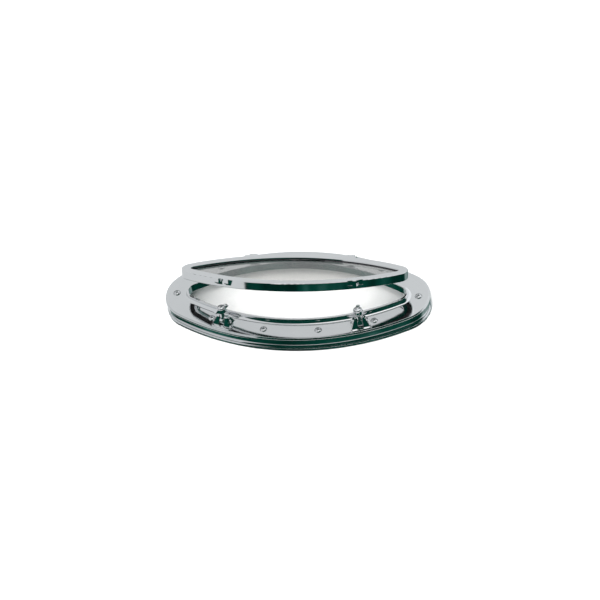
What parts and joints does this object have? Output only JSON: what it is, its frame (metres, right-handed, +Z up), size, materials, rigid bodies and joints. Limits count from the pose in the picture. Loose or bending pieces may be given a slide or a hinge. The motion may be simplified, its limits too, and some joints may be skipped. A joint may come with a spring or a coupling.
{
  "type": "deck hatch",
  "caption": "Oval polished steel deck hatch: a glazed lid hinged at the back opens from a lipped flange on a coaming ring, and swing bolts with wing nuts clamp it shut.",
  "frame": {"origin": "middle of the footprint, on the deck under the deck gasket", "axes": "+X along the oval towards the right-hand end, +Y towards the hinges, +Z up, away from the deck"},
  "size_m": [0.4, 0.18, 0.0995],
  "materials": {
    "polished_steel": "mirror polished stainless steel with fine handling marks",
    "fastener_steel": "turned stainless steel, lightly polished",
    "gasket_rubber": "matt black moulded rubber",
    "black_sealant": "satin black sealant",
    "clear_glass": "clear toughened glass with a polished edge"
  },
  "bodies": {
    "frame": {"main_frame": "polished_steel", "base_ring": "polished_steel", "deck_gasket": "gasket_rubber", "frame_gasket": "gasket_rubber", "flange_screws": "fastener_steel", "hinge_base_left": "polished_steel", "hinge_pin_left": "fastener_steel", "dog_bracket_left": "polished_steel", "dog_pin_left": "fastener_steel", "hinge_base_right": "polished_steel", "hinge_pin_right": "fastener_steel", "dog_bracket_right": "polished_steel", "dog_pin_right": "fastener_steel"},
    "lid": {"lid_frame": "polished_steel", "lid_seal": "gasket_rubber", "glass_pane": "clear_glass", "glass_sealant": "black_sealant", "glazing_bead": "polished_steel", "hinge_leaf_left": "polished_steel", "hinge_leaf_right": "polished_steel", "hinge_leaf_screws": "fastener_steel"},
    "left_bolt": {"dog_bolt_left": "polished_steel", "dog_cap_left": "polished_steel"},
    "left_washer": {"dog_washer_left": "fastener_steel"},
    "left_nut": {"dog_nut_left": "polished_steel"},
    "right_bolt": {"dog_bolt_right": "polished_steel", "dog_cap_right": "polished_steel"},
    "right_washer": {"dog_washer_right": "fastener_steel"},
    "right_nut": {"dog_nut_right": "polished_steel"}
  },
  "joints": [
    {"name": "lid_hinge", "type": "hinge", "parent": "frame", "child": "lid", "pos_m": [0, 0.0665, 0.0365], "axis": [-1, 0, 0], "range_deg": [-25.4, 76]},
    {"name": "dog_left_swing", "type": "hinge", "parent": "frame", "child": "left_bolt", "pos_m": [-0.10208, -0.05861, 0.0328], "axis": [0.9527, -0.304, 0], "range_deg": [-33, 80]},
    {"name": "dog_left_nut_travel", "type": "slide", "parent": "left_bolt", "child": "left_washer", "axis": [0, 0, 1], "range_m": [-0.0012, 0.0007]},
    {"name": "dog_left_nut_spin", "type": "hinge", "parent": "left_washer", "child": "left_nut", "pos_m": [-0.10208, -0.05861, 0.0328], "axis": [0, 0, 1], "range_deg": [-346.5, 202.5]},
    {"name": "dog_right_swing", "type": "hinge", "parent": "frame", "child": "right_bolt", "pos_m": [0.10208, -0.05861, 0.0328], "axis": [0.9527, 0.304, 0], "range_deg": [-33, 80]},
    {"name": "dog_right_nut_travel", "type": "slide", "parent": "right_bolt", "child": "right_washer", "axis": [0, 0, 1], "range_m": [-0.0012, 0.0007]},
    {"name": "dog_right_nut_spin", "type": "hinge", "parent": "right_washer", "child": "right_nut", "pos_m": [0.10208, -0.05861, 0.0328], "axis": [0, 0, 1], "range_deg": [-346.5, 202.5]}
  ],
  "couplings": [
    {"joint": "dog_left_nut_spin", "follows": "dog_left_nut_travel", "rad_per_m": 5026.5},
    {"joint": "dog_right_nut_spin", "follows": "dog_right_nut_travel", "rad_per_m": 5026.5}
  ]
}
